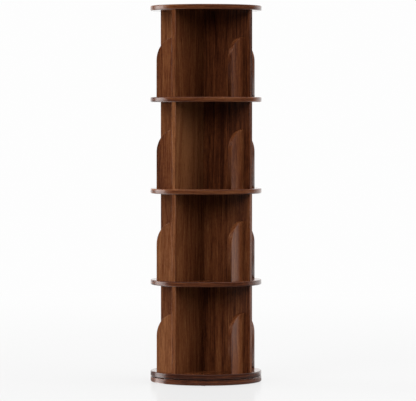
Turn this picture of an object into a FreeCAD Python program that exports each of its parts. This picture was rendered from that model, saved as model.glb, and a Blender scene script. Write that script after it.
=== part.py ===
"""A round four-tier revolving bookcase in walnut.

A tower of shelf discs and pinwheel uprights turns on a ball-race turntable, which is let into a fixed
base disc. The frame is +Z up, with its origin on the floor under the middle of the base, and the
uprights stand along X and Y. Lengths are millimetres.
"""

import FreeCAD, Part
import itertools
import math
import os

import Sketcher

# The driving sizes: alias, value, what it measures
SIZES = (
    ("disc_dia", 400, "every disc, across"),
    ("top_thk", 18, "top disc, thick"),
    ("shelf_thk", 18, "shelf discs, thick"),
    ("base_thk", 18, "base disc, thick"),
    ("tier_count", 4, "tiers"),
    ("tier_clear", 310, "clear height of a tier"),
    ("turn_gap", 3, "open line between the base disc and the bottom shelf"),
    ("pad_side", 28, "rubber pads, square"),
    ("pad_height", 2, "rubber pads, high"),
    ("pad_count", 6, "rubber pads"),
    ("pad_inset", 36, "middle of a pad, in from the rim of the base disc"),
    ("upright_thk", 16, "uprights, thick"),
    ("rim_setback", 2, "uprights stop this far inside the rim"),
    ("upright_ease", 1.5, "bevel on the two tip edges of an upright"),
    ("end_thk", 16, "end boards, thick"),
    ("end_width", 83, "end boards, out from the upright that carries them"),
    ("end_height", 213, "end boards, high"),
    ("end_inset", 25, "outer face of an end board, in from the tip of its upright"),
    ("tongue_thk", 8, "tongues, thick"),
    ("tongue_height", 6, "tongues, out from the board"),
    ("tongue_stop", 12, "tongues stop this short of the ends of their edge"),
    ("fit_gap", 0.15, "play of a tongue or a screw in what it goes into, on each side"),
    ("plate_side", 150, "turntable plates, square"),
    ("plate_thk", 2.5, "turntable plates, thick"),
    ("plate_corner", 12, "bevel on the corners of a plate"),
    ("plate_margin", 4, "room round the lower plate in its recess"),
    ("race_dia", 110, "ball race, across"),
    ("race_depth", 1.8, "V race, deep"),
    ("race_angle", 60, "half angle of the V race, in degrees"),
    ("race_play", 0.08, "between a ball and the flanks of the race"),
    ("ball_dia", 6, "balls, across"),
    ("ball_count", 10, "balls"),
    ("cage_width", 12, "ball cage, from its inner to its outer edge"),
    ("cage_thk", 1.6, "ball cage, thick"),
    ("cage_play", 0.15, "between a ball and its window in the cage"),
    ("screw_dia", 4, "turntable screws, across the shank"),
    ("screw_inset", 14, "screws, in from the sides of a plate"),
    ("head_dia", 8, "hexagon heads of the screws, across the corners"),
    ("head_height", 1.4, "hexagon heads of the screws, high"),
    ("lower_screw", 10, "screws of the lower plate, under the head"),
    ("upper_screw", 15, "screws of the upper plate, under the head"),
    ("overrun", 1, "cutting tools pass this far through a face"),
)
NOTE_COLUMN = "A"
VALUE_COLUMN = "B"

document = FreeCAD.newDocument("RevolvingBookcase")
sheet = document.addObject("Spreadsheet::Sheet", "Sizes")
for row, (alias, size, note) in enumerate(SIZES, start=1):
    sheet.set(f"{NOTE_COLUMN}{row}", note)
    sheet.set(f"{VALUE_COLUMN}{row}", str(size))
    sheet.setAlias(f"{VALUE_COLUMN}{row}", alias)
document.recompute()

# Heights and lengths that follow from the driving sizes, as expressions
DISC_RADIUS = "Sizes.disc_dia / 2"
UPRIGHT_LENGTH = "sqrt((Sizes.disc_dia / 2 - Sizes.rim_setback)^2 - Sizes.upright_thk^2)"
END_FACE = f"{UPRIGHT_LENGTH} - Sizes.end_inset"
BASE_TOP = "(Sizes.pad_height + Sizes.base_thk)"
TOWER_FOOT = f"({BASE_TOP} + Sizes.turn_gap)"
STOREY = "(Sizes.tier_clear + Sizes.shelf_thk)"
FLOOR = "0"

# Codes that a sketch uses for its origin and for the points of a line or arc
ORIGIN = (-1, 1)
START = 1
END = 2
CENTRE = 3

# The four uprights of a tier are quarter turns of the first, seen from above going clockwise
QUARTERS = ("a", "b", "c", "d")
FULL_TURN = 360
UP = FreeCAD.Vector(0, 0, 1)
ALONG = FreeCAD.Vector(1, 0, 0)
SAME = 1e-6

pieces = []


def value(expression):
    """The number that an expression comes to in the sheet."""
    return float(sheet.evalExpression(expression))


def origin_part(body, role):
    """A body's own origin plane or axis."""
    return next(part for part in body.Origin.OriginFeatures if part.Role == role)


def new_body(label, seat, turn=FreeCAD.Rotation()):
    """A body of the document that is kept as a piece, turned and then set at a height."""
    body = document.addObject("PartDesign::Body", label)
    body.Label = label
    body.Placement = FreeCAD.Placement(FreeCAD.Vector(), turn)
    body.setExpression("Placement.Base.z", seat)
    pieces.append(body)
    return body


def new_sketch(body, name, role, lift):
    """A sketch on one of the body's origin planes, lifted along the plane's normal."""
    sketch = body.newObject("Sketcher::SketchObject", name)
    sketch.AttachmentSupport = [(origin_part(body, role), "")]
    sketch.MapMode = "FlatFace"
    sketch.setExpression("AttachmentOffset.Base.z", lift)
    return sketch


def bind(sketch, kind, points, expression, name):
    """A dimension between sketch points, or of one curve, that the sheet drives."""
    index = sketch.addConstraint(Sketcher.Constraint(kind, *points, value(expression)))
    sketch.renameConstraint(index, name)
    sketch.setExpression(f"Constraints.{name}", expression)


def draw_loop(sketch, corners):
    """Straight lines through the corners and back to the first, joined end to end."""
    count = len(corners)
    for index, corner in enumerate(corners):
        after = corners[(index + 1) % count]
        sketch.addGeometry(Part.LineSegment(FreeCAD.Vector(*corner), FreeCAD.Vector(*after)))
    for index in range(count):
        sketch.addConstraint(Sketcher.Constraint("Coincident", index, END, (index + 1) % count, START))


def rectangle(body, name, role, low, high, lift=FLOOR):
    """A rectangle between two corners, each a pair of expressions in the plane."""
    sketch = new_sketch(body, name, role, lift)
    x_low, y_low = (value(side) for side in low)
    x_high, y_high = (value(side) for side in high)
    draw_loop(sketch, [(x_low, y_low), (x_high, y_low), (x_high, y_high), (x_low, y_high)])
    bottom, right, top, left = range(sketch.GeometryCount)
    for line in (bottom, top):
        sketch.addConstraint(Sketcher.Constraint("Horizontal", line))
    for line in (right, left):
        sketch.addConstraint(Sketcher.Constraint("Vertical", line))
    bind(sketch, "DistanceX", (*ORIGIN, bottom, START), low[0], "low_x")
    bind(sketch, "DistanceY", (*ORIGIN, bottom, START), low[1], "low_y")
    bind(sketch, "DistanceX", (*ORIGIN, top, START), high[0], "high_x")
    bind(sketch, "DistanceY", (*ORIGIN, top, START), high[1], "high_y")
    return sketch


def polygon(body, name, role, corners, lift=FLOOR):
    """A closed outline whose corners are pairs of expressions in the plane."""
    sketch = new_sketch(body, name, role, lift)
    draw_loop(sketch, [(value(x), value(y)) for x, y in corners])
    for index, (x, y) in enumerate(corners):
        bind(sketch, "DistanceX", (*ORIGIN, index, START), x, f"corner_{index}_x")
        bind(sketch, "DistanceY", (*ORIGIN, index, START), y, f"corner_{index}_y")
    return sketch


def circles(body, name, places, lift=FLOOR):
    """Circles on the XY plane, each an x, a y and a radius as expressions."""
    sketch = new_sketch(body, name, "XY_Plane", lift)
    for index, (x, y, radius) in enumerate(places):
        middle = FreeCAD.Vector(value(x), value(y))
        sketch.addGeometry(Part.Circle(middle, UP, value(radius)))
        bind(sketch, "Radius", (index,), radius, f"radius_{index}")
        bind(sketch, "DistanceX", (*ORIGIN, index, CENTRE), x, f"middle_{index}_x")
        bind(sketch, "DistanceY", (*ORIGIN, index, CENTRE), y, f"middle_{index}_y")
    return sketch


def pad(body, name, sketch, length):
    """Raises a sketch into a solid along its plane's normal."""
    feature = body.newObject("PartDesign::Pad", name)
    feature.Profile = sketch
    feature.setExpression("Length", length)
    return feature


def pocket(body, name, sketch, depth, upward=False):
    """Cuts a sketch into the body, against its plane's normal unless it goes upward."""
    feature = body.newObject("PartDesign::Pocket", name)
    feature.Profile = sketch
    feature.Reversed = upward
    feature.setExpression("Length", depth)
    return feature


def repeat_round(body, name, feature, count):
    """Copies a feature at even steps round the body's Z axis."""
    pattern = body.newObject("PartDesign::PolarPattern", name)
    pattern.Originals = [feature]
    pattern.Axis = (origin_part(body, "Z_Axis"), [""])
    pattern.Angle = FULL_TURN
    pattern.setExpression("Occurrences", count)
    body.Tip = pattern
    return pattern


def bevel(body, name, feature, size, wanted):
    """Bevels the edges of a feature that the test picks out."""
    document.recompute()
    edges = [f"Edge{index}" for index, edge in enumerate(feature.Shape.Edges, start=1) if wanted(edge)]
    chamfer = body.newObject("PartDesign::Chamfer", name)
    chamfer.Base = (feature, edges)
    chamfer.setExpression("Size", size)
    return chamfer


def solid(kind, name, sizes, place=()):
    """A Part primitive with its sizes and place bound to the sheet."""
    made = document.addObject(kind, name)
    for field, expression in (*sizes, *place):
        made.setExpression(field, expression)
    return made


def keep_group(label, members, seat=FLOOR, turn=FreeCAD.Rotation()):
    """Separate equal solids that are kept as one piece."""
    group = document.addObject("Part::Compound", label)
    group.Label = label
    group.Links = members
    group.Placement = FreeCAD.Placement(FreeCAD.Vector(), turn)
    group.setExpression("Placement.Base.z", seat)
    pieces.append(group)
    return group


# Tongues: their sides about the middle of a board, and the looser sides of the housings they enter
UPRIGHT_TONGUE_LOW = ("Sizes.tongue_stop", "-(Sizes.upright_thk + Sizes.tongue_thk) / 2")
UPRIGHT_TONGUE_HIGH = (
    f"{UPRIGHT_LENGTH} - Sizes.tongue_stop",
    "-(Sizes.upright_thk - Sizes.tongue_thk) / 2",
)
END_TONGUE_LOW = (
    f"{END_FACE} - (Sizes.end_thk + Sizes.tongue_thk) / 2",
    "-(Sizes.upright_thk + Sizes.end_width - Sizes.tongue_stop)",
)
END_TONGUE_HIGH = (
    f"{END_FACE} - (Sizes.end_thk - Sizes.tongue_thk) / 2",
    "-(Sizes.upright_thk + Sizes.tongue_stop)",
)
HOUSING_DEPTH = "Sizes.tongue_height + Sizes.fit_gap"


def loosened(low, high):
    """The corners of a housing, which is a tongue's outline with play on each side."""
    return [f"{side} - Sizes.fit_gap" for side in low], [f"{side} + Sizes.fit_gap" for side in high]


# Discs: round boards with stopped housings where the boards of a tier stand
def disc(label, seat, thickness):
    body = new_body(label, seat)
    outline = circles(body, f"{label}_outline", [(FLOOR, FLOOR, DISC_RADIUS)])
    pad(body, f"{label}_board", outline, thickness)
    return body


def cut_housings(body, name, low, high, lift, upward):
    outline = rectangle(body, f"{name}_outline", "XY_Plane", *loosened(low, high), lift)
    first = pocket(body, f"{name}_first", outline, HOUSING_DEPTH, upward)
    repeat_round(body, name, first, str(len(QUARTERS)))


def house_tier_above(body, thickness):
    """Housings in the upper face, for the four uprights and four end boards that stand on a shelf."""
    label = body.Label
    cut_housings(
        body, f"{label}_upright_seats", UPRIGHT_TONGUE_LOW, UPRIGHT_TONGUE_HIGH, thickness, False
    )
    cut_housings(body, f"{label}_end_seats", END_TONGUE_LOW, END_TONGUE_HIGH, thickness, False)


def house_tier_below(body):
    """Housings in the lower face, for the heads of the four uprights underneath."""
    label = body.Label
    cut_housings(body, f"{label}_head_seats", UPRIGHT_TONGUE_LOW, UPRIGHT_TONGUE_HIGH, FLOOR, True)


# Uprights: a board from the axis nearly to the rim, with a tongue along its foot and its head
def upright(label, seat, turn):
    body = new_body(label, seat, turn)
    outline = rectangle(
        body, f"{label}_outline", "XY_Plane", (FLOOR, "-Sizes.upright_thk"), (UPRIGHT_LENGTH, FLOOR)
    )
    board = pad(body, f"{label}_board", outline, "Sizes.tier_clear")
    tip = value(UPRIGHT_LENGTH)

    def at_tip(edge):
        upright_edge = abs(edge.tangentAt(edge.FirstParameter).dot(UP)) > 1 - SAME
        return upright_edge and abs(edge.BoundBox.XMin - tip) < SAME

    bevel(body, f"{label}_tip", board, "Sizes.upright_ease", at_tip)
    tongue = rectangle(
        body,
        f"{label}_tongue_outline",
        "XY_Plane",
        UPRIGHT_TONGUE_LOW,
        UPRIGHT_TONGUE_HIGH,
        "-Sizes.tongue_height",
    )
    pad(body, f"{label}_tongue", tongue, "Sizes.tier_clear + 2 * Sizes.tongue_height")
    low, high = loosened(
        (END_TONGUE_LOW[0], "Sizes.tongue_stop"),
        (END_TONGUE_HIGH[0], "Sizes.end_height - Sizes.tongue_stop"),
    )
    seat_outline = rectangle(body, f"{label}_seat_outline", "XZ_Plane", low, high, "Sizes.upright_thk")
    pocket(body, f"{label}_seat", seat_outline, HOUSING_DEPTH)
    return body


# End boards: low, square to the upright that carries them, with a quarter-round top that falls outward
def end_board(label, seat, turn):
    body = new_body(label, seat, turn)
    inner = -value("Sizes.upright_thk")
    width = value("Sizes.end_width")
    top = value("Sizes.end_height")
    outer = inner - width
    outline = new_sketch(body, f"{label}_outline", "YZ_Plane", f"{END_FACE} - Sizes.end_thk")
    foot_line = Part.LineSegment(FreeCAD.Vector(outer, 0), FreeCAD.Vector(inner, 0))
    inner_line = Part.LineSegment(FreeCAD.Vector(inner, 0), FreeCAD.Vector(inner, top))
    outer_line = Part.LineSegment(FreeCAD.Vector(outer, top - width), FreeCAD.Vector(outer, 0))
    whole = Part.Circle(FreeCAD.Vector(inner, top - width), UP, width)
    quarter = FreeCAD.Units.Quantity(f"{FULL_TURN / len(QUARTERS)} deg").getValueAs("rad").Value
    foot, side, crown, edge = (
        outline.addGeometry(curve)
        for curve in (
            foot_line,
            inner_line,
            Part.ArcOfCircle(whole, quarter, 2 * quarter),
            outer_line,
        )
    )
    for one, other in (
        ((foot, END), (side, START)),
        ((side, END), (crown, START)),
        ((edge, END), (foot, START)),
    ):
        outline.addConstraint(Sketcher.Constraint("Coincident", *one, *other))
    outline.addConstraint(Sketcher.Constraint("Tangent", crown, END, edge, START))
    outline.addConstraint(Sketcher.Constraint("PointOnObject", crown, CENTRE, side))
    outline.addConstraint(Sketcher.Constraint("Horizontal", foot))
    outline.addConstraint(Sketcher.Constraint("Vertical", side))
    outline.addConstraint(Sketcher.Constraint("Vertical", edge))
    bind(outline, "DistanceX", (*ORIGIN, foot, END), "-Sizes.upright_thk", "inner_x")
    bind(outline, "DistanceY", (*ORIGIN, foot, END), FLOOR, "foot_y")
    bind(outline, "DistanceX", (foot, START, foot, END), "Sizes.end_width", "width")
    bind(outline, "DistanceY", (side, START, side, END), "Sizes.end_height", "height")
    pad(body, f"{label}_board", outline, "Sizes.end_thk")
    foot_tongue = rectangle(
        body,
        f"{label}_foot_outline",
        "XY_Plane",
        END_TONGUE_LOW,
        END_TONGUE_HIGH,
        "-Sizes.tongue_height",
    )
    pad(body, f"{label}_foot_tongue", foot_tongue, "2 * Sizes.tongue_height")
    side_tongue = rectangle(
        body,
        f"{label}_side_outline",
        "XZ_Plane",
        (END_TONGUE_LOW[0], "Sizes.tongue_stop"),
        (END_TONGUE_HIGH[0], "Sizes.end_height - Sizes.tongue_stop"),
        "Sizes.upright_thk - Sizes.tongue_height",
    )
    pad(body, f"{label}_side_tongue", side_tongue, "2 * Sizes.tongue_height")
    return body


# Turntable: two square pressed plates, each with a V race, that face each other across the balls
BALL_RISE = "(Sizes.ball_dia / 2 + Sizes.race_play) / sin(Sizes.race_angle * 1deg)"
RACE_GAP = f"(2 * ({BALL_RISE} - Sizes.race_depth))"
RECESS_DEPTH = f"(2 * Sizes.plate_thk + {RACE_GAP} - Sizes.turn_gap)"
RECESS_RADIUS = "Sizes.plate_side / sqrt(2) + Sizes.plate_margin"
LOWER_SEAT = f"{BASE_TOP} - {RECESS_DEPTH}"
SCREW_PLACE = "(Sizes.plate_side / 2 - Sizes.screw_inset)"
SCREW_HOLE = "Sizes.screw_dia / 2 + Sizes.fit_gap"
HALF_SIDE = "Sizes.plate_side / 2"
RACE_HALF_WIDTH = "(Sizes.race_depth + Sizes.overrun) * tan(Sizes.race_angle * 1deg)"
TURNED_OVER = FreeCAD.Rotation(ALONG, FULL_TURN / 2)


def turntable_plate(label, seat, turn=FreeCAD.Rotation()):
    """A plate with its back at its seat and its race in the other face."""
    body = new_body(label, seat, turn)
    outline = rectangle(
        body,
        f"{label}_outline",
        "XY_Plane",
        (f"-{HALF_SIDE}", f"-{HALF_SIDE}"),
        (HALF_SIDE, HALF_SIDE),
    )
    board = pad(body, f"{label}_blank", outline, "Sizes.plate_thk")
    bevel(
        body,
        f"{label}_corners",
        board,
        "Sizes.plate_corner",
        lambda edge: abs(edge.tangentAt(edge.FirstParameter).dot(UP)) > 1 - SAME,
    )
    race = polygon(
        body,
        f"{label}_race_outline",
        "XZ_Plane",
        (
            ("Sizes.race_dia / 2", "Sizes.plate_thk - Sizes.race_depth"),
            (f"Sizes.race_dia / 2 + {RACE_HALF_WIDTH}", "Sizes.plate_thk + Sizes.overrun"),
            (f"Sizes.race_dia / 2 - {RACE_HALF_WIDTH}", "Sizes.plate_thk + Sizes.overrun"),
        ),
    )
    groove = body.newObject("PartDesign::Groove", f"{label}_race")
    groove.Profile = race
    groove.ReferenceAxis = (race, ["V_Axis"])
    groove.Angle = FULL_TURN
    hole = circles(
        body, f"{label}_hole_outline", [(SCREW_PLACE, SCREW_PLACE, SCREW_HOLE)], "Sizes.plate_thk"
    )
    first = pocket(body, f"{label}_first_hole", hole, "Sizes.plate_thk + Sizes.overrun")
    repeat_round(body, f"{label}_holes", first, str(len(QUARTERS)))
    return body


def plate_screws(label, seat, screw, turn=FreeCAD.Rotation()):
    """Four hexagon-head screws, heads on the race side of a plate, whose threads bite in the wood behind."""
    members = []
    for corner, (across, along) in enumerate(((1, 1), (-1, 1), (-1, -1), (1, -1))):
        place = (
            ("Placement.Base.x", f"{across} * {SCREW_PLACE}"),
            ("Placement.Base.y", f"{along} * {SCREW_PLACE}"),
        )
        shank = solid(
            "Part::Cylinder",
            f"{label}_shank_{corner}",
            (("Radius", "Sizes.screw_dia / 2"), ("Height", f"{screw} + Sizes.head_height / 2")),
            (*place, ("Placement.Base.z", f"Sizes.plate_thk - {screw}")),
        )
        head = solid(
            "Part::Prism",
            f"{label}_head_{corner}",
            (("Circumradius", "Sizes.head_dia / 2"), ("Height", "Sizes.head_height")),
            (*place, ("Placement.Base.z", "Sizes.plate_thk")),
        )
        whole = document.addObject("Part::Fuse", f"{label}_{corner}")
        whole.Base = shank
        whole.Tool = head
        members.append(whole)
    return keep_group(label, members, seat, turn)


# Ball cage: a flat moulded ring with one square window for each ball
CAGE_LIFT = f"{LOWER_SEAT} + Sizes.plate_thk + ({RACE_GAP} - Sizes.cage_thk) / 2"
WINDOW_HALF = "(Sizes.ball_dia / 2 + Sizes.cage_play)"


def ball_cage(label):
    body = new_body(label, CAGE_LIFT)
    outline = circles(
        body,
        f"{label}_outline",
        (
            (FLOOR, FLOOR, "(Sizes.race_dia + Sizes.cage_width) / 2"),
            (FLOOR, FLOOR, "(Sizes.race_dia - Sizes.cage_width) / 2"),
        ),
    )
    pad(body, f"{label}_ring", outline, "Sizes.cage_thk")
    window = rectangle(
        body,
        f"{label}_window_outline",
        "XY_Plane",
        (f"Sizes.race_dia / 2 - {WINDOW_HALF}", f"-{WINDOW_HALF}"),
        (f"Sizes.race_dia / 2 + {WINDOW_HALF}", WINDOW_HALF),
        "Sizes.cage_thk",
    )
    first = pocket(body, f"{label}_first_window", window, "Sizes.cage_thk + Sizes.overrun")
    repeat_round(body, f"{label}_windows", first, "Sizes.ball_count")
    return body


# Balls: faceted, with every side of an icosahedron split in four and its corners pushed out to the ball
GOLDEN_SHARE = (1 + math.sqrt(5)) / 2
ICOSAHEDRON_SIDE = 2


def faceted_ball(radius):
    signs = tuple(itertools.product((-1, 1), (-GOLDEN_SHARE, GOLDEN_SHARE)))
    corners = [FreeCAD.Vector(0, one, other) for one, other in signs]
    corners += [FreeCAD.Vector(one, other, 0) for one, other in signs]
    corners += [FreeCAD.Vector(other, 0, one) for one, other in signs]

    def side(one, other):
        return abs(one.distanceToPoint(other) - ICOSAHEDRON_SIDE) < SAME

    def out(point):
        return point * (radius / point.Length)

    faces = []
    for a, b, c in itertools.combinations(corners, 3):
        if not (side(a, b) and side(b, c) and side(c, a)):
            continue
        ab, bc, ca = a + b, b + c, c + a
        for triangle in ((a, ab, ca), (b, bc, ab), (c, ca, bc), (ab, bc, ca)):
            points = [out(point) for point in triangle]
            faces.append(Part.Face(Part.makePolygon([*points, points[0]])))
    ball = Part.Solid(Part.Shell(faces))
    if ball.Volume < 0:
        ball.reverse()
    return ball


def bearing_balls(label):
    shape = faceted_ball(value("Sizes.ball_dia / 2"))
    members = []
    for index in range(round(value("Sizes.ball_count"))):
        angle = f"{FULL_TURN}deg * {index} / Sizes.ball_count"
        ball = document.addObject("Part::Feature", f"{label}_{index}")
        ball.Shape = shape
        ball.setExpression("Placement.Base.x", f"Sizes.race_dia / 2 * cos({angle})")
        ball.setExpression("Placement.Base.y", f"Sizes.race_dia / 2 * sin({angle})")
        members.append(ball)
    return keep_group(label, members, f"{LOWER_SEAT} + Sizes.plate_thk + {RACE_GAP} / 2")


# Base: the fixed disc, recessed for the lower half of the turntable, on rubber pads
def base_disc(label):
    body = disc(label, "Sizes.pad_height", "Sizes.base_thk")
    outline = circles(
        body, f"{label}_recess_outline", [(FLOOR, FLOOR, RECESS_RADIUS)], "Sizes.base_thk"
    )
    pocket(body, f"{label}_recess", outline, RECESS_DEPTH)
    return body


def base_pads(label):
    members = []
    for index in range(round(value("Sizes.pad_count"))):
        angle = f"{FULL_TURN}deg * {index} / Sizes.pad_count"
        middle = f"({DISC_RADIUS} - Sizes.pad_inset)"
        square = solid(
            "Part::Box",
            f"{label}_{index}",
            (
                ("Length", "Sizes.pad_side"),
                ("Width", "Sizes.pad_side"),
                ("Height", "Sizes.pad_height"),
            ),
            (
                ("Placement.Base.x", f"{middle} * cos({angle}) - Sizes.pad_side / 2"),
                ("Placement.Base.y", f"{middle} * sin({angle}) - Sizes.pad_side / 2"),
            ),
        )
        members.append(square)
    return keep_group(label, members)


# Put together from the floor up
base_pads("base_pads")
base_disc("base_disc")
turntable_plate("turntable_lower_plate", LOWER_SEAT)
plate_screws("lower_plate_screws", LOWER_SEAT, "Sizes.lower_screw")
bearing_balls("bearing_balls")
ball_cage("ball_cage")
turntable_plate("turntable_upper_plate", TOWER_FOOT, TURNED_OVER)
plate_screws("upper_plate_screws", TOWER_FOOT, "Sizes.upper_screw", TURNED_OVER)
for tier in range(1, round(value("Sizes.tier_count")) + 1):
    shelf_label = f"shelf_{tier}"
    shelf_seat = f"{TOWER_FOOT} + {tier - 1} * {STOREY}"
    shelf = disc(shelf_label, shelf_seat, "Sizes.shelf_thk")
    house_tier_above(shelf, "Sizes.shelf_thk")
    if tier > 1:
        house_tier_below(shelf)
    for quarter_index, letter in enumerate(QUARTERS):
        quarter_turn = FreeCAD.Rotation(UP, -FULL_TURN * quarter_index / len(QUARTERS))
        board_seat = f"{shelf_seat} + Sizes.shelf_thk"
        upright(f"tier_{tier}_upright_{letter}", board_seat, quarter_turn)
        end_board(f"tier_{tier}_end_board_{letter}", board_seat, quarter_turn)
TOP_SEAT = f"{TOWER_FOOT} + Sizes.tier_count * {STOREY}"
top_disc = disc("top_disc", TOP_SEAT, "Sizes.top_thk")
house_tier_below(top_disc)
document.recompute()

# Nothing is written until every object and every piece is sound
for item in document.Objects:
    if "Invalid" in item.State or "Error" in item.State:
        raise SystemExit(f"{item.Label} failed to compute: {item.State}")
for piece in pieces:
    if piece.Shape.isNull() or not piece.Shape.isValid():
        raise SystemExit(f"{piece.Label} has no valid shape")
os.makedirs("parts", exist_ok=True)
for piece in pieces:
    piece.Shape.exportStep(f"parts/{piece.Label}.step")
whole_box = FreeCAD.BoundBox()
for piece in pieces:
    whole_box.add(piece.Shape.BoundBox)
print(f"{len(pieces)} pieces, {whole_box.XLength:.1f} x {whole_box.YLength:.1f} x {whole_box.ZLength:.1f}")
print(f"uprights {value(UPRIGHT_LENGTH):.2f} long, plates {value(RACE_GAP):.3f} apart")
print(f"recess {value(RECESS_DEPTH):.3f} deep, {value(RECESS_RADIUS):.2f} in radius")
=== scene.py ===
"""The looks of a round four-tier revolving bookcase in walnut: its boards and fittings, their finish, and the
studio round it. Lengths are metres, +Z is up, and the tower turns about the Z axis."""

import bmesh
import bpy
import numpy as np
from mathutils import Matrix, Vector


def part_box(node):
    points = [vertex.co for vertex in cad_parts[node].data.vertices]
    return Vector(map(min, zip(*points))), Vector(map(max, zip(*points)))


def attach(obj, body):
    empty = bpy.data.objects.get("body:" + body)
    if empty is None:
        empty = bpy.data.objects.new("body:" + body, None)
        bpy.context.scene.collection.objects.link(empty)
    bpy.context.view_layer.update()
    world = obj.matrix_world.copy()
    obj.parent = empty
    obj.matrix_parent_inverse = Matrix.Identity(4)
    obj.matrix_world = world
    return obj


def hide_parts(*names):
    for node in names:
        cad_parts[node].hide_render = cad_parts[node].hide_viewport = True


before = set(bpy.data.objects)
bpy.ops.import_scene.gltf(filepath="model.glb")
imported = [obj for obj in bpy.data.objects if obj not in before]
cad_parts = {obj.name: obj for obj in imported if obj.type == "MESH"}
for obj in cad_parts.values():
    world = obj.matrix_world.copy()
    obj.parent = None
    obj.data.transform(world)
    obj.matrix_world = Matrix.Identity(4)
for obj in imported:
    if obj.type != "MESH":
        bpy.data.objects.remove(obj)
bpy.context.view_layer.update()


# Base pads
# Six square pads of black rubber sheet, die cut and glued under the base disc, which they lift off the floor.
# Rubber sheet is matt and nearly black, with a fine dusty tooth that keeps any gloss away.
PAD_BLACKS = ((0.3, "#141413"), (0.7, "#262524"))
PAD_ROUGHNESS = 0.85

# The tooth is drawn a few times as coarse as it is, so that it shows
PAD_TOOTH = 0.0009
PAD_TOOTH_DEPTH = PAD_TOOTH / 4
PAD_TOOTH_BUMP = 0.4


def linear(colour):
    """An sRGB hex colour as linear RGBA: a channel c, in 0 to 1, becomes ((c + 0.055) / 1.055) to the 2.4, or
    c / 12.92 where c is no more than 0.04045."""
    channels = np.array([int(colour[start : start + 2], 16) for start in (1, 3, 5)]) / 255
    dark = channels / 12.92
    light = ((channels + 0.055) / 1.055) ** 2.4
    return (*np.where(channels <= 0.04045, dark, light), 1.0)


def add_node(tree, kind, inputs=None, **settings):
    """Adds a node with its settings. Each input gets a value, or the output that feeds it."""
    node = tree.nodes.new(kind)
    for setting, value in settings.items():
        setattr(node, setting, value)
    for socket, value in (inputs or {}).items():
        if isinstance(value, bpy.types.NodeSocket):
            tree.links.new(value, node.inputs[socket])
        else:
            node.inputs[socket].default_value = value
    return node


def set_stops(ramp, stops):
    """Gives a colour ramp its stops, each a place from 0 to 1 and a hex colour."""
    while len(ramp.elements) < len(stops):
        ramp.elements.new(0)
    for element, (place, colour) in zip(ramp.elements, stops):
        element.position = place
        element.color = linear(colour)


def new_material(name):
    """A material that holds a Principled shader and its output."""
    material = bpy.data.materials.new(name)
    material.use_nodes = True
    tree = material.node_tree
    tree.nodes.clear()
    shader = add_node(tree, "ShaderNodeBsdfPrincipled")
    add_node(tree, "ShaderNodeOutputMaterial", {"Surface": shader.outputs["BSDF"]})
    return material, tree, shader


def dress(node_name, material):
    """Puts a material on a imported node, in place of the plain one."""
    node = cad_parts[node_name]
    if not node.material_slots:
        node.data.materials.append(material)
    for material_slot in node.material_slots:
        material_slot.material = material


def sheet_rubber():
    """Die-cut sheet rubber: one noise gives the dust in its blacks and the tooth of its face."""
    material, tree, shader = new_material("sheet_rubber")
    place = add_node(tree, "ShaderNodeTexCoord").outputs["Object"]
    tooth = add_node(tree, "ShaderNodeTexNoise", {"Vector": place, "Scale": 1 / PAD_TOOTH}).outputs["Fac"]
    blacks = add_node(tree, "ShaderNodeValToRGB", {"Fac": tooth})
    set_stops(blacks.color_ramp, PAD_BLACKS)
    bump = add_node(
        tree,
        "ShaderNodeBump",
        {"Height": tooth, "Strength": PAD_TOOTH_BUMP, "Distance": PAD_TOOTH_DEPTH},
    )
    tree.links.new(blacks.outputs["Color"], shader.inputs["Base Color"])
    tree.links.new(bump.outputs["Normal"], shader.inputs["Normal"])
    shader.inputs["Roughness"].default_value = PAD_ROUGHNESS
    return material


dress("base_pads", sheet_rubber())


# Base disc
# The fixed foot is a round board veneered in walnut, with a solid walnut lipping bent round its edge and
# rounded over top and bottom. A round recess in its upper face takes the lower half of the turntable.
DISC_STEPS = 256
ROUND_STEPS = 6
ROUND_OVER = 0.0034
MERGE = 0.000001

# The two edges that face each other over the base disc are rounded less, which keeps the line between them
# thin. Each pair is the lower and the upper round-over of a disc.
LINE_ROUND = 0.0015
EDGE_ROUNDS = {"base_disc": (ROUND_OVER, LINE_ROUND), "shelf_1": (LINE_ROUND, ROUND_OVER)}

# The recess clears the corners of the square plate that lies in it, and the lipping's ends meet at the back
RECESS_ROOM = 0.004
LIPPING_JOINT = np.radians(123)

# The figure of the timber: growth rings, fibres, short flecks where the grain dips in and out of the face,
# pores and the slow drift of the heartwood. All are drawn in their real sizes but the pores, which are drawn
# about three times as wide as they are, so that they show.
RING_WIDTH = 0.0065
RING_RUN = 0.9
WANDER = 0.03
WANDER_ACROSS = 0.16
WANDER_RUN = 0.55
FIBRE_WIDTH = 0.0036
FIBRE_RUN = 0.06
FLECK_WIDTH = 0.005
FLECK_RUN = 0.012
PORE_WIDTH = 0.0006
PORE_RUN = 0.007
PORE_DEPTH = PORE_WIDTH / 4
PORE_BUMP = 0.25
PORE_EDGES = (0.6, 0.7)
DRIFT_ACROSS = 0.09
DRIFT_RUN = 0.6
WANDER_DETAIL = 2.0
STREAK_DETAIL = 3.0
SOFT_DETAIL = 1.0
NOISE_MIDDLE = (0.5, 0.5, 0.5)
RING_SHARE = 0.48
FIBRE_SHARE = 0.36
FLECK_SHARE = 0.12
DRIFT_SHARE = 0.16
PORE_SHADE_SHARE = 0.62

# The leaves of veneer are as wide as this, and one is centred on the axis. Each has the heart of the log this
# far from its left side, and this far under its face.
LEAF_WIDTH = 0.134
LEAVES_TO_AXIS = 3.5
LEAF_HEART = 0.052
LEAF_DEPTH = 0.085

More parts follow.
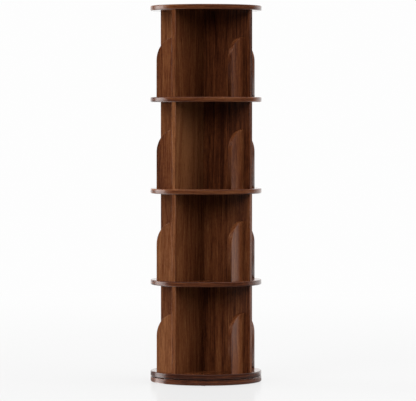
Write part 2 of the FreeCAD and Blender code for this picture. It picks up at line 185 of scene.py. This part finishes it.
# How far each board's tone is moved up the ramp to paler walnut, or down it to darker, and the ramp's colours
VENEER_TONE = 0.0
LIPPING_TONES = {
    "top_disc": -0.01,
    "shelf_4": -0.02,
    "shelf_3": 0.01,
    "shelf_2": -0.06,
    "shelf_1": -0.14,
    "base_disc": -0.05,
}
WALNUT_STOPS = (
    (0.40, "#38190d"),
    (0.49, "#532a17"),
    (0.57, "#6b3b21"),
    (0.65, "#7d4b2c"),
    (0.76, "#945f3b"),
)

# The lacquer's share of gloss, and the roughness of its face from the densest fibres to the most open
LACQUER_LEVEL = 0.35
BOARD_ROUGHNESS = (0.2, 0.28)
VENEER_ROUGHNESS = (0.15, 0.22)

# A lipping is cut from the log by chance, between these two places across the log and along it
LIPPING_CUTS = ((0.03, 0.03, 0), (0.09, 0.06, 9))
TIMBER_SEED = 5
timber_yard = np.random.default_rng(TIMBER_SEED)


def stretched_noise(tree, place, lump, detail):
    """Noise whose lumps are as long each way as the three sizes, in metres."""
    per_metre = [1 / size for size in lump]
    scaled = add_node(
        tree, "ShaderNodeVectorMath", {0: place, 1: per_metre}, operation="MULTIPLY"
    ).outputs[0]
    return add_node(tree, "ShaderNodeTexNoise", {"Vector": scaled, "Scale": 1.0, "Detail": detail})


def walnut_figure(tree, shader, timber, tone, sheen):
    """Satin-lacquered walnut at a point of the log, whose third axis runs along the grain. A slow noise bends
    the point across the grain. Its distance from the heart of the log then gives the growth ring, stretched
    noises give the fibres, the flecks and the drift, and the four are added by their shares, with the board's
    own tone, and read off the colour ramp. The pores are darker and sunk, and the sheen changes with the
    fibres, so the lacquer looks thin and close to the wood."""
    wander = stretched_noise(tree, timber, (WANDER_ACROSS, WANDER_ACROSS, WANDER_RUN), WANDER_DETAIL)
    centred = add_node(
        tree, "ShaderNodeVectorMath", {0: wander.outputs["Color"], 1: NOISE_MIDDLE}, operation="SUBTRACT"
    )
    bent = add_node(
        tree,
        "ShaderNodeVectorMath",
        {0: centred.outputs[0], 1: (WANDER, WANDER, 0), 2: timber},
        operation="MULTIPLY_ADD",
    )
    across = add_node(
        tree, "ShaderNodeVectorMath", {0: bent.outputs[0], 1: (1, 1, 0)}, operation="MULTIPLY"
    )
    from_heart = add_node(tree, "ShaderNodeVectorMath", {0: across.outputs[0]}, operation="LENGTH")
    along = add_node(tree, "ShaderNodeSeparateXYZ", {0: timber})
    ring_place = add_node(
        tree, "ShaderNodeCombineXYZ", {"X": from_heart.outputs["Value"], "Y": along.outputs["Z"]}
    )
    rings = stretched_noise(tree, ring_place.outputs[0], (RING_WIDTH, RING_RUN, 1), STREAK_DETAIL)
    fibres = stretched_noise(tree, timber, (FIBRE_WIDTH, FIBRE_WIDTH, FIBRE_RUN), STREAK_DETAIL)
    flecks = stretched_noise(tree, timber, (FLECK_WIDTH, FLECK_WIDTH, FLECK_RUN), SOFT_DETAIL)
    drift = stretched_noise(tree, timber, (DRIFT_ACROSS, DRIFT_ACROSS, DRIFT_RUN), SOFT_DETAIL)
    pores = stretched_noise(tree, timber, (PORE_WIDTH, PORE_WIDTH, PORE_RUN), SOFT_DETAIL)
    parts = ((rings, RING_SHARE), (fibres, FIBRE_SHARE), (flecks, FLECK_SHARE), (drift, DRIFT_SHARE))
    total = tone
    for part, share in parts:
        total = add_node(
            tree, "ShaderNodeMath", {0: part.outputs["Fac"], 1: share, 2: total}, operation="MULTIPLY_ADD"
        ).outputs[0]
    colours = add_node(tree, "ShaderNodeValToRGB", {"Fac": total})
    set_stops(colours.color_ramp, WALNUT_STOPS)
    open_pores = add_node(
        tree,
        "ShaderNodeMapRange",
        {"Value": pores.outputs["Fac"], "From Min": PORE_EDGES[0], "From Max": PORE_EDGES[1]},
    )
    shade = add_node(
        tree,
        "ShaderNodeMapRange",
        {"Value": open_pores.outputs[0], "To Min": 1.0, "To Max": PORE_SHADE_SHARE},
    )
    shaded = add_node(
        tree,
        "ShaderNodeVectorMath",
        {0: colours.outputs["Color"], "Scale": shade.outputs[0]},
        operation="SCALE",
    )
    roughness = add_node(
        tree,
        "ShaderNodeMapRange",
        {"Value": fibres.outputs["Fac"], "To Min": sheen[0], "To Max": sheen[1]},
    )
    relief = add_node(
        tree,
        "ShaderNodeBump",
        {"Height": open_pores.outputs[0], "Strength": PORE_BUMP, "Distance": PORE_DEPTH},
        invert=True,
    )
    tree.links.new(shaded.outputs[0], shader.inputs["Base Color"])
    tree.links.new(roughness.outputs[0], shader.inputs["Roughness"])
    tree.links.new(relief.outputs["Normal"], shader.inputs["Normal"])
    shader.inputs["Specular IOR Level"].default_value = LACQUER_LEVEL


def solid_walnut():
    """Boards and lippings. Each carries its place in the log, and its tone, in its attributes."""
    material, tree, shader = new_material("solid_walnut_satin_lacquer")
    timber = add_node(tree, "ShaderNodeAttribute", attribute_name="timber")
    tone = add_node(tree, "ShaderNodeAttribute", attribute_name="tone")
    walnut_figure(tree, shader, timber.outputs["Vector"], tone.outputs["Fac"], BOARD_ROUGHNESS)
    return material


def veneered_walnut():
    """Faces of the discs: slip-matched leaves of veneer with the grain along Y. The place across the disc is
    taken modulo the width of a leaf, so that the figure comes again in each leaf."""
    material, tree, shader = new_material("slip_matched_walnut_veneer")
    place = add_node(tree, "ShaderNodeTexCoord")
    parts = add_node(tree, "ShaderNodeSeparateXYZ", {0: place.outputs["Object"]})
    shifted = add_node(
        tree, "ShaderNodeMath", {0: parts.outputs["X"], 1: LEAF_WIDTH * LEAVES_TO_AXIS}, operation="ADD"
    )
    in_leaf = add_node(tree, "ShaderNodeMath", {0: shifted.outputs[0], 1: LEAF_WIDTH}, operation="MODULO")
    in_log = add_node(
        tree,
        "ShaderNodeCombineXYZ",
        {"X": in_leaf.outputs[0], "Y": parts.outputs["Z"], "Z": parts.outputs["Y"]},
    )
    timber = add_node(
        tree,
        "ShaderNodeVectorMath",
        {0: in_log.outputs[0], 1: (-LEAF_HEART, LEAF_DEPTH, 0)},
        operation="ADD",
    )
    walnut_figure(tree, shader, timber.outputs[0], VENEER_TONE, VENEER_ROUGHNESS)
    return material


WALNUTS = (solid_walnut(), veneered_walnut())
SOLID = 0
VENEERED = 1


def new_piece(name, places, smooth, materials, finish=0, timber=None, tone=0.0):
    """A closed mesh from one or more grids of places, each a stack of rings joined by quads. A ring ends
    where it starts, and the first and last rings of a stack shrink to a point. Smooth and finish say, for
    each quad, whether it is shaded round and which of the materials it has. Timber is the point of the log at
    each place."""
    corners = np.arange(places[..., 0].size).reshape(places.shape[:-1])
    low, high = corners[..., :-1, :], corners[..., 1:, :]
    quads = np.stack([low[..., :-1], low[..., 1:], high[..., 1:], high[..., :-1]], axis=-1)
    cells = quads.shape[:-1]
    quads = quads.reshape(-1, 4)
    mesh = bpy.data.meshes.new(name)
    mesh.from_pydata(places.reshape(-1, 3).tolist(), [], quads.tolist())
    for material in materials:
        mesh.materials.append(material)
    mesh.polygons.foreach_set("use_smooth", np.broadcast_to(smooth, cells).ravel())
    mesh.polygons.foreach_set("material_index", np.broadcast_to(finish, cells).ravel())
    if timber is not None:
        in_log = mesh.attributes.new("timber", "FLOAT_VECTOR", "CORNER")
        in_log.data.foreach_set("vector", timber.reshape(-1, 3)[quads.ravel()].ravel())
        tones = mesh.attributes.new("tone", "FLOAT", "CORNER")
        tones.data.foreach_set("value", np.full(quads.size, tone))
    closed = bmesh.new()
    closed.from_mesh(mesh)
    bmesh.ops.remove_doubles(closed, verts=closed.verts, dist=MERGE)
    closed.to_mesh(mesh)
    closed.free()
    piece = bpy.data.objects.new(name, mesh)
    bpy.context.scene.collection.objects.link(piece)
    return piece


def disc_profile(radius, low, high, rounds, recess_radius=0.0, recess_floor=0.0):
    """Half the section of a disc, as radius and height, from the middle of its lower face round its edge to
    the middle of its upper face. Each round-over is a quarter circle: its points lie in from the edge by its
    size times one minus the sine of an angle, and off the lower face by its size times one minus the cosine,
    and the upper one has the two the other way about. A recess steps down in the upper face."""
    below, above = rounds
    quarter = np.linspace(0, np.pi / 2, ROUND_STEPS + 1)
    inset = 1 - np.sin(quarter)
    rise = 1 - np.cos(quarter)
    lower = np.stack([radius - below * inset, low + below * rise], axis=1)
    upper = np.stack([radius - above * rise, high - above * inset], axis=1)
    end = [(0.0, high)]
    if recess_radius:
        end = [(recess_radius, high), (recess_radius, recess_floor), (0.0, recess_floor)]
    return np.concatenate([[(0.0, low)], lower, upper, end])


def round_disc(name, body, recess_radius=0.0, recess_floor=0.0):
    """The profile carried once round the axis: x is the radius times the cosine of the angle and y times its
    sine. On the edge the grain runs round the disc, so the log's third axis is the arc there."""
    low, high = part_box(name)
    rounds = EDGE_ROUNDS.get(name, (ROUND_OVER, ROUND_OVER))
    profile = disc_profile(min(-low.x, high.x), low.z, high.z, rounds, recess_radius, recess_floor)
    angle = LIPPING_JOINT + np.linspace(0, 2 * np.pi, DISC_STEPS + 1)
    radius = profile[:, :1]
    height = np.broadcast_to(profile[:, 1:], (len(profile), len(angle)))
    places = np.stack([radius * np.cos(angle), radius * np.sin(angle), height], axis=-1)
    over = np.concatenate([[0.0], np.cumsum(np.hypot(*np.diff(profile, axis=0).T))])[:, None]
    heart_x, heart_y, start = timber_yard.uniform(*LIPPING_CUTS)
    arc = profile[:, 0].max() * angle
    timber = np.stack(
        [
            np.broadcast_to(over + heart_x, height.shape),
            np.full(height.shape, heart_y),
            np.broadcast_to(arc + start, height.shape),
        ],
        axis=-1,
    )
    edge = np.zeros((len(profile) - 1, 1), dtype=bool)
    edge[1 : 2 * (ROUND_STEPS + 1)] = True
    finish = np.where(edge, SOLID, VENEERED)
    disc = new_piece(f"{name}_board", places, edge, WALNUTS, finish, timber, LIPPING_TONES[name])
    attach(disc, body)
    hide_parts(name)


plate_low, plate_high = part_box("turntable_lower_plate")
round_disc("base_disc", "base", plate_high.x * np.sqrt(2) + RECESS_ROOM, plate_low.z)


# Turntable
# Two square plates pressed from zinc-plated steel, each with a V race. Ten chromed balls run between them
# in a nylon cage. Hexagon-head screws hold one plate in the base and the other under the bottom shelf.
ZINC_SPANGLE = 0.006
ZINC_GREYS = ((0.35, "#a9a9a6"), (0.65, "#c3c3bf"))
ZINC_ROUGHNESS = 0.38
SCREW_GREYS = ((0.35, "#8b8a84"), (0.65, "#a7a59c"))
SCREW_ROUGHNESS = 0.3
NYLON_GRAIN = 0.0015
NYLON_WHITES = ((0.3, "#cfccc0"), (0.7, "#dcd9ce"))
NYLON_ROUGHNESS = 0.45
BALL_COUNT = 10
BALL_STEPS = 32
BALL_GREYS = ((0.3, "#cfd1d3"), (0.7, "#dfe0e1"))
BALL_CLOUD = 0.0008
BALL_ROUGHNESS = (0.06, 0.16)


def plated_steel(name, greys, roughness):
    """Zinc-plated steel: a half-bright metal whose grey changes from one spangle to the next."""
    material, tree, shader = new_material(name)
    place = add_node(tree, "ShaderNodeTexCoord")
    spangle = add_node(
        tree, "ShaderNodeTexVoronoi", {"Vector": place.outputs["Object"], "Scale": 1 / ZINC_SPANGLE}
    )
    ramp = add_node(tree, "ShaderNodeValToRGB", {"Fac": spangle.outputs["Color"]})
    set_stops(ramp.color_ramp, greys)
    tree.links.new(ramp.outputs["Color"], shader.inputs["Base Color"])
    shader.inputs["Metallic"].default_value = 1.0
    shader.inputs["Roughness"].default_value = roughness
    return material


def moulded_nylon():
    """Natural nylon: an off-white that drifts a little, with the soft sheen of a moulded face."""
    material, tree, shader = new_material("moulded_nylon")
    place = add_node(tree, "ShaderNodeTexCoord")
    cloud = add_node(
        tree, "ShaderNodeTexNoise", {"Vector": place.outputs["Object"], "Scale": 1 / NYLON_GRAIN}
    )
    ramp = add_node(tree, "ShaderNodeValToRGB", {"Fac": cloud.outputs["Fac"]})
    set_stops(ramp.color_ramp, NYLON_WHITES)
    tree.links.new(ramp.outputs["Color"], shader.inputs["Base Color"])
    shader.inputs["Roughness"].default_value = NYLON_ROUGHNESS
    return material


def lapped_steel():
    """Bearing steel, ground and lapped to a mirror, with a faint cloud where grease has dried."""
    material, tree, shader = new_material("lapped_bearing_steel")
    place = add_node(tree, "ShaderNodeTexCoord")
    cloud = add_node(
        tree, "ShaderNodeTexNoise", {"Vector": place.outputs["Object"], "Scale": 1 / BALL_CLOUD}
    )
    ramp = add_node(tree, "ShaderNodeValToRGB", {"Fac": cloud.outputs["Fac"]})
    set_stops(ramp.color_ramp, BALL_GREYS)
    haze = add_node(
        tree,
        "ShaderNodeMapRange",
        {"Value": cloud.outputs["Fac"], "To Min": BALL_ROUGHNESS[0], "To Max": BALL_ROUGHNESS[1]},
    )
    tree.links.new(ramp.outputs["Color"], shader.inputs["Base Color"])
    tree.links.new(haze.outputs[0], shader.inputs["Roughness"])
    shader.inputs["Metallic"].default_value = 1.0
    return material


def bearing_balls():
    """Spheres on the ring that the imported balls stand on. A point of one is its middle plus the radius times
    (sine of the polar angle times cosine of the turn, the same times its sine, cosine of the polar angle)."""
    low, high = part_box("bearing_balls")
    radius = (high.z - low.z) / 2
    ring = high.x - radius
    turns = np.arange(BALL_COUNT) * 2 * np.pi / BALL_COUNT
    middles = np.stack([ring * np.cos(turns), ring * np.sin(turns), 0 * turns + low.z + radius], axis=-1)
    polar = np.linspace(np.pi, 0, BALL_STEPS // 2 + 1)[:, None]
    turn = np.linspace(0, 2 * np.pi, BALL_STEPS + 1)
    unit = np.stack(
        [np.sin(polar) * np.cos(turn), np.sin(polar) * np.sin(turn), np.cos(polar) + 0 * turn], axis=-1
    )
    balls = new_piece("lapped_balls", middles[:, None, None] + radius * unit, True, (lapped_steel(),))
    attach(balls, "cage")
    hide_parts("bearing_balls")


zinc_plate = plated_steel("zinc_plated_pressed_steel", ZINC_GREYS, ZINC_ROUGHNESS)
zinc_screw = plated_steel("zinc_plated_screw_steel", SCREW_GREYS, SCREW_ROUGHNESS)
dress("turntable_lower_plate", zinc_plate)
dress("turntable_upper_plate", zinc_plate)
dress("lower_plate_screws", zinc_screw)
dress("upper_plate_screws", zinc_screw)
dress("ball_cage", moulded_nylon())
bearing_balls()


# Shelves and top disc
# The tower has four shelves and a top of the same make as the base disc. Their housings for the boards are
# hidden by the boards that fill them, so the faces are plain here.
TIERS = range(1, sum(name.startswith("shelf_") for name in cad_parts) + 1)
for tier in TIERS:
    round_disc(f"shelf_{tier}", "tower")
round_disc("top_disc", "tower")


# Uprights
# Each tier stands on four solid walnut boards set as a pinwheel: the inner end of one butts against the face
# of the next. The two edges of the tip are eased with sandpaper, and the grain runs upright.
TIP_EASE = 0.0015
EASE_STEPS = 5
QUARTER_TURNS = {"a": 0, "b": 1, "c": 2, "d": 3}

# An upright is cut from the log between these two places across it and along it
UPRIGHT_CUTS = ((-0.2, 0.05, 0), (0, 0.12, 9))

# How far a board's tone is off by chance, and how far some boards are moved paler or darker on top of that
TONE_SPREAD = 0.03
TONE_SHIFTS = {
    "tier_1_end_board_a": -0.02,
    "tier_2_end_board_a": 0.02,
    "tier_3_end_board_a": 0.02,
    "tier_1_end_board_b": 0.14,
    "tier_2_end_board_b": 0.1,
    "tier_1_upright_a": -0.01,
    "tier_2_upright_a": 0.01,
    "tier_3_upright_a": -0.12,
    "tier_4_upright_a": -0.04,
    "tier_1_upright_b": 0.03,
    "tier_2_upright_b": 0.04,
    "tier_3_upright_b": 0.165,
    "tier_4_upright_b": 0.03,
    "tier_1_upright_c": 0.03,
    "tier_2_upright_c": 0.05,
    "tier_3_upright_c": 0.06,
    "tier_4_upright_c": 0.14,
}


def board_tone(node):
    """A small tone by chance, and the shift paler or darker that some boards are given on top of it."""
    return timber_yard.uniform(-TONE_SPREAD, TONE_SPREAD) + TONE_SHIFTS.get(node, 0)


def turned(points, turns):
    """Points taken round the axis by quarter turns, clockwise from above. Each makes (x, y) into (y, -x)."""
    x, y, z = np.moveaxis(points, -1, 0)
    for _ in range(turns):
        x, y = y, -x
    return np.stack([x, y, z], axis=-1)


def eased_corner(centre_x, centre_y, start):
    """A quarter circle of the ease's radius, counter-clockwise from the start angle."""
    angle = start + np.linspace(0, np.pi / 2, EASE_STEPS + 1)
    return np.stack([centre_x + TIP_EASE * np.cos(angle), centre_y + TIP_EASE * np.sin(angle)], axis=1)


def set_board(node, letter, board, rounded, timber):
    """Turns a board that is laid out along the first quarter to its own, and fixes it in the tower."""
    places = turned(board, QUARTER_TURNS[letter])
    piece = new_piece(f"{node}_board", places, rounded, WALNUTS, SOLID, timber, board_tone(node))
    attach(piece, "tower")
    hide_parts(node)


def upright(tier, letter):
    """The plan of the board carried up from its shelf to the disc above, and closed at both ends."""
    node = f"tier_{tier}_upright_{letter}"
    first_low, first_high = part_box(f"tier_{tier}_upright_a")
    length = first_high.x
    thickness = -first_low.y
    above = "top_disc" if tier == TIERS[-1] else f"shelf_{tier + 1}"
    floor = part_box(f"shelf_{tier}")[1].z
    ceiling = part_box(above)[0].z
    tip = length - TIP_EASE
    plan = np.concatenate(
        [
            [(0.0, -thickness)],
            eased_corner(tip, TIP_EASE - thickness, -np.pi / 2),
            eased_corner(tip, -TIP_EASE, 0.0),
            [(0.0, 0.0)],
            [(0.0, -thickness)],
        ]
    )
    middle = np.full_like(plan, (length / 2, -thickness / 2))
    heights = (floor, floor, ceiling, ceiling)
    flat_rings = np.stack([middle, plan, plan, middle])
    level = np.broadcast_to(np.reshape(heights, (-1, 1, 1)), (*flat_rings.shape[:2], 1))
    board = np.concatenate([flat_rings, level], axis=-1)
    rounded = np.zeros((len(heights) - 1, len(plan) - 1), dtype=bool)
    rounded[1, 1 : EASE_STEPS + 1] = True
    rounded[1, EASE_STEPS + 2 : 2 * EASE_STEPS + 2] = True
    timber = board + timber_yard.uniform(*UPRIGHT_CUTS)
    set_board(node, letter, board, rounded, timber)


for tier in TIERS:
    for letter in QUARTER_TURNS:
        upright(tier, letter)


# End boards
# A low board stands square to each upright near its tip and keeps what leans there from falling out. It is
# solid walnut with upright grain, and its top falls outward in a quarter circle. The free edge is eased.
END_EASE = 0.0012
CROWN_STEPS = 32

# An end board is cut from the log between these two places across it and along it
END_BOARD_CUTS = ((0, -0.12, 0), (0.1, -0.05, 9))


def end_board(tier, letter):
    """Outlines of the board, each a little further in and further through its thickness round the eased edge:
    inset is the ease times one minus the sine of an angle, and depth the ease times one minus its cosine."""
    node = f"tier_{tier}_end_board_{letter}"
    low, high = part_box(f"tier_{tier}_end_board_a")
    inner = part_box(f"tier_{tier}_upright_a")[0].y
    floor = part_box(f"shelf_{tier}")[1].z
    outer = low.y
    width = inner - outer
    spring = high.z - width
    crown = np.linspace(np.pi / 2, np.pi, CROWN_STEPS + 1)
    outward = np.stack([np.cos(crown), np.sin(crown)], axis=1)
    arch = (inner, spring) + width * outward
    outline = np.concatenate([[(inner, floor)], arch, [(outer, floor)], [(inner, floor)]])
    inward = -np.concatenate([[(0, 0)], outward, [(-1, 0)], [(0, 0)]])
    quarter = np.linspace(0, np.pi / 2, EASE_STEPS + 1)
    inset = END_EASE * (1 - np.sin(quarter))
    through = END_EASE * (1 - np.cos(quarter))
    insets = np.concatenate([inset, inset[::-1]])
    depths = np.concatenate([low.x + through, high.x - through[::-1]])
    faces = outline + insets[:, None, None] * inward
    middle = np.full_like(outline, ((inner + outer) / 2, (floor + spring) / 2))
    rings = np.concatenate([[middle], faces, [middle]])
    depths = np.concatenate([[low.x], depths, [high.x]])
    thickness = np.broadcast_to(depths[:, None, None], (*rings.shape[:2], 1))
    board = np.concatenate([thickness, rings], axis=-1)
    rounded = np.zeros((len(rings) - 1, len(outline) - 1), dtype=bool)
    rounded[1:-1, 1 : CROWN_STEPS + 2] = True
    in_log = board[..., [1, 0, 2]]
    timber = in_log + timber_yard.uniform(*END_BOARD_CUTS)
    set_board(node, letter, board, rounded, timber)


for tier in TIERS:
    for letter in QUARTER_TURNS:
        end_board(tier, letter)


# Studio
# A pale floor with a faint sheen sweeps up into a white background. The wood is lit from above and from
# behind by white cloth, and by soft lamps at both sides: the strongest is low at the left. A tall box at the
# left and a cloth at the right are there for the gloss.
FLOOR_SIZE = 60.0
VIEW_TURN = 33.2

# The paint as the camera sees it, with a glow on top, and as the light meets it near the object and far off
FLOOR_SEEN_PALE = "#595959"
FLOOR_GLOW = 0.778
FLOOR_NEAR_PALE = "#a0a0a0"
FLOOR_FAR_PALE = "#5e5e5e"
FLOOR_NEAR = 0.3
FLOOR_FAR = 0.55
FLOOR_SHEEN_SHARE = 0.08
FLOOR_SHEEN_ROUGHNESS = 0.15

# How far out the floor starts to turn white, and where it has
SWEEP_START = 0.6
SWEEP_END = 5.0
BACKGROUND_WHITE = 0.985

# Each cloth's turn from the camera's side in degrees, its outer and inner edge as cosines of the angle from
# its middle, and its brightness. The edges of the cloth above are sines of the height over the horizon.
BEHIND_CLOTH = (168, (0.58, 0.86), 1.4)
SIDE_BOX = (-112, (0.93, 0.985), 5.6)
ABOVE_EDGES = (0.3, 1.0)
ABOVE_LIGHT = 1.5

# The painted pool of light, a glow in the floor seen only in the gloss that stands in for the side
# box's light on it, starts at this turn and this far from the axis
POOL_TURN = -43
POOL_START = 0.176
POOL_SHARE = 0.75

# Each lamp's turn and rise, its level and its width, and the standing cloth's turn, distance, width and
# height. Angles are in degrees.
LAMPS = {
    "low_left_softbox": (-108, 6, 0.95, 30),
    "front_left_softbox": (-33, 25, 0.35, 30),
    "front_right_softbox": (60, 32, 0.26, 50),
    "low_right_softbox": (98, 5, 0.24, 30),
    "high_right_softbox": (105, 45, 0.2, 50),
}
RIGHT_CLOTH = (113, 1.6, 0.9, 0.6)
RIGHT_CLOTH_LIGHT = 0.8


def level_way(turn):
    """The level direction that is turned from the camera's side by an angle."""
    angle = np.radians(VIEW_TURN + turn)
    return np.array([np.sin(angle), -np.cos(angle), 0])


def lit_cloth(tree, towards, turn, edges, brightness):
    """How bright a lit cloth is in a direction: the direction times that of the cloth's middle, as a dot
    product, eased from one edge of the cloth to the other."""
    along = add_node(tree, "ShaderNodeVectorMath", {0: towards, 1: level_way(turn)}, operation="DOT_PRODUCT")
    eased = add_node(
        tree,
        "ShaderNodeMapRange",
        {"Value": along.outputs["Value"], "From Min": edges[0], "From Max": edges[1], "To Max": brightness},
        interpolation_type="SMOOTHSTEP",
    )
    return eased.outputs[0]


def floor_plane():
    """A flat sheet of floor. To the camera it glows a little, and turns to the background's white far out. In
    the gloss of the wood the cloth behind runs on over it as a glow, and so does a painted pool of light at
    the side box: a glow seen only in the gloss, that stands in for the box's light on the floor."""
    half = FLOOR_SIZE / 2
    mesh = bpy.data.meshes.new("floor")
    corners = [(-half, -half, 0), (half, -half, 0), (half, half, 0), (-half, half, 0)]
    mesh.from_pydata(corners, [], [(0, 1, 2, 3)])
    material, tree, shader = new_material("painted_studio_floor")
    ray = add_node(tree, "ShaderNodeLightPath")
    camera_ray = ray.outputs["Is Camera Ray"]
    place = add_node(tree, "ShaderNodeTexCoord").outputs["Object"]
    outward = add_node(tree, "ShaderNodeVectorMath", {0: place}, operation="NORMALIZE")
    from_start = add_node(
        tree,
        "ShaderNodeVectorMath",
        {0: place, 1: POOL_START * level_way(POOL_TURN)},
        operation="SUBTRACT",
    )
    into_pool = add_node(tree, "ShaderNodeVectorMath", {0: from_start.outputs[0]}, operation="NORMALIZE")
    # Painted light: in the gloss the floor glows as the cloth behind, and with a painted pool of the side
    # box's light
    cloths = add_node(
        tree,
        "ShaderNodeMath",
        {
            0: lit_cloth(tree, into_pool.outputs[0], *SIDE_BOX),
            1: POOL_SHARE,
            2: lit_cloth(tree, outward.outputs[0], *BEHIND_CLOTH),
        },
        operation="MULTIPLY_ADD",
    )
    in_gloss = add_node(
        tree, "ShaderNodeMath", {0: ray.outputs["Is Glossy Ray"], 1: cloths.outputs[0]}, operation="MULTIPLY"
    )
    glow = add_node(
        tree,
        "ShaderNodeMath",
        {0: camera_ray, 1: FLOOR_GLOW, 2: in_gloss.outputs[0]},
        operation="MULTIPLY_ADD",
    )
    tree.links.new(glow.outputs[0], shader.inputs["Emission Strength"])
    shader.inputs["Emission Color"].default_value = (1, 1, 1, 1)
    away = add_node(tree, "ShaderNodeVectorMath", {0: place}, operation="LENGTH").outputs["Value"]
    to_light = add_node(
        tree,
        "ShaderNodeMapRange",
        {
            "Value": away,
            "From Min": FLOOR_NEAR,
            "From Max": FLOOR_FAR,
            "To Min": linear(FLOOR_NEAR_PALE)[0],
            "To Max": linear(FLOOR_FAR_PALE)[0],
        },
    )
    paint = add_node(
        tree,
        "ShaderNodeMapRange",
        {"Value": camera_ray, "To Min": to_light.outputs[0], "To Max": linear(FLOOR_SEEN_PALE)[0]},
    )
    tree.links.new(paint.outputs[0], shader.inputs["Base Color"])
    shader.inputs["Specular IOR Level"].default_value = 0.0
    shader.inputs["Roughness"].default_value = 1.0
    sheen = add_node(tree, "ShaderNodeBsdfGlossy", {"Roughness": FLOOR_SHEEN_ROUGHNESS})
    sheeny = add_node(
        tree, "ShaderNodeMixShader", {0: FLOOR_SHEEN_SHARE, 1: shader.outputs[0], 2: sheen.outputs[0]}
    )
    sweep = add_node(
        tree,
        "ShaderNodeMapRange",
        {"Value": away, "From Min": SWEEP_START, "From Max": SWEEP_END, "To Max": camera_ray},
        interpolation_type="SMOOTHSTEP",
    )
    white = add_node(tree, "ShaderNodeEmission", {"Strength": BACKGROUND_WHITE})
    whole = add_node(
        tree, "ShaderNodeMixShader", {0: sweep.outputs[0], 1: sheeny.outputs[0], 2: white.outputs[0]}
    )
    output = next(node for node in tree.nodes if node.bl_idname == "ShaderNodeOutputMaterial")
    tree.links.new(whole.outputs[0], output.inputs["Surface"])
    mesh.materials.append(material)
    plane = bpy.data.objects.new("floor", mesh)
    bpy.context.scene.collection.objects.link(plane)


def surround():
    """A world that is white to the camera. Its light has two parts: white cloth behind, and white cloth
    above, which grows brighter from low in the sky to its top. The gloss of the wood sees the side box as
    well."""
    world = bpy.data.worlds.new("surround")
    world.use_nodes = True
    tree = world.node_tree
    tree.nodes.clear()
    towards = add_node(tree, "ShaderNodeTexCoord").outputs["Generated"]
    rise = add_node(tree, "ShaderNodeSeparateXYZ", {0: towards}).outputs["Z"]
    above = add_node(
        tree,
        "ShaderNodeMapRange",
        {"Value": rise, "From Min": ABOVE_EDGES[0], "From Max": ABOVE_EDGES[1], "To Max": ABOVE_LIGHT},
        interpolation_type="SMOOTHSTEP",
    )
    both = add_node(
        tree,
        "ShaderNodeMath",
        {0: lit_cloth(tree, towards, *BEHIND_CLOTH), 1: above.outputs[0]},
        operation="ADD",
    )
    ray = add_node(tree, "ShaderNodeLightPath")
    side_box = lit_cloth(tree, towards, *SIDE_BOX)
    light = add_node(
        tree,
        "ShaderNodeMath",
        {0: ray.outputs["Is Glossy Ray"], 1: side_box, 2: both.outputs[0]},
        operation="MULTIPLY_ADD",
    )
    seen = add_node(
        tree,
        "ShaderNodeMapRange",
        {"Value": ray.outputs["Is Camera Ray"], "To Min": light.outputs[0], "To Max": BACKGROUND_WHITE},
    )
    background = add_node(tree, "ShaderNodeBackground", {"Color": (1, 1, 1, 1), "Strength": seen.outputs[0]})
    add_node(tree, "ShaderNodeOutputWorld", {"Surface": background.outputs[0]})
    bpy.context.scene.world = world


def soft_lamp(name, turn, rise, level, spread):
    """A lamp as far off as the sun, turned from the camera's side by an angle and raised by another. A level
    of one lights a face square to it so that its colour comes out as written. The lamps stay out of the
    gloss."""
    lamp = bpy.data.lights.new(name, "SUN")
    lamp.energy = np.pi * level
    lamp.angle = np.radians(spread)
    holder = bpy.data.objects.new(name, lamp)
    holder.rotation_euler = (np.radians(90 - rise), 0, np.radians(VIEW_TURN + turn))
    holder.visible_glossy = False
    bpy.context.scene.collection.objects.link(holder)


def standing_cloth(name, turn, distance, width, height):
    """A lit cloth that stands on the floor and faces the axis, for the gloss on the lower tiers. Its power is
    pi times its brightness times its area. The floor takes no light from it, so it stays even on all
    sides."""
    lamp = bpy.data.lights.new(name, "AREA")
    lamp.shape = "RECTANGLE"
    lamp.size = width
    lamp.size_y = height
    lamp.energy = np.pi * RIGHT_CLOTH_LIGHT * width * height
    holder = bpy.data.objects.new(name, lamp)
    holder.location = distance * level_way(turn) + (0, 0, height / 2)
    holder.rotation_euler = (np.radians(90), 0, np.radians(VIEW_TURN + turn))
    holder.visible_camera = False
    unlit = bpy.data.collections.new("not_lit_by_cloth")
    unlit.objects.link(bpy.data.objects["floor"])
    unlit.collection_objects[0].light_linking.link_state = "EXCLUDE"
    holder.light_linking.receiver_collection = unlit
    bpy.context.scene.collection.objects.link(holder)


floor_plane()
surround()
for lamp_name, lamp_values in LAMPS.items():
    soft_lamp(lamp_name, *lamp_values)
standing_cloth("low_right_cloth", *RIGHT_CLOTH)


# Camera
# It stands far off with a long lens at about seven tenths of the height of the tower, turned round from -Y
# towards +X. It is aimed by the picture's middle, so it needs no shift.
EYE_DISTANCE = 10.3
EYE_HEIGHT = 0.97
FOCAL_PIXELS = 2859
PICTURE_WIDTH_PIXELS = 416
AIM_HEIGHT = 0.6526
AIM_ASIDE = 0.0072

camera = bpy.data.cameras.new("camera")
camera.lens = camera.sensor_width * FOCAL_PIXELS / PICTURE_WIDTH_PIXELS
camera.clip_end = FLOOR_SIZE * 2
holder = bpy.data.objects.new("camera", camera)
eye = EYE_DISTANCE * level_way(0) + (0, 0, EYE_HEIGHT)
aim = AIM_ASIDE * level_way(90) + (0, 0, AIM_HEIGHT)
holder.location = eye
holder.rotation_euler = Vector(aim - eye).to_track_quat("-Z", "Y").to_euler()
bpy.context.scene.collection.objects.link(holder)
bpy.context.scene.camera = holder
bpy.context.scene.view_settings.view_transform = "Standard"
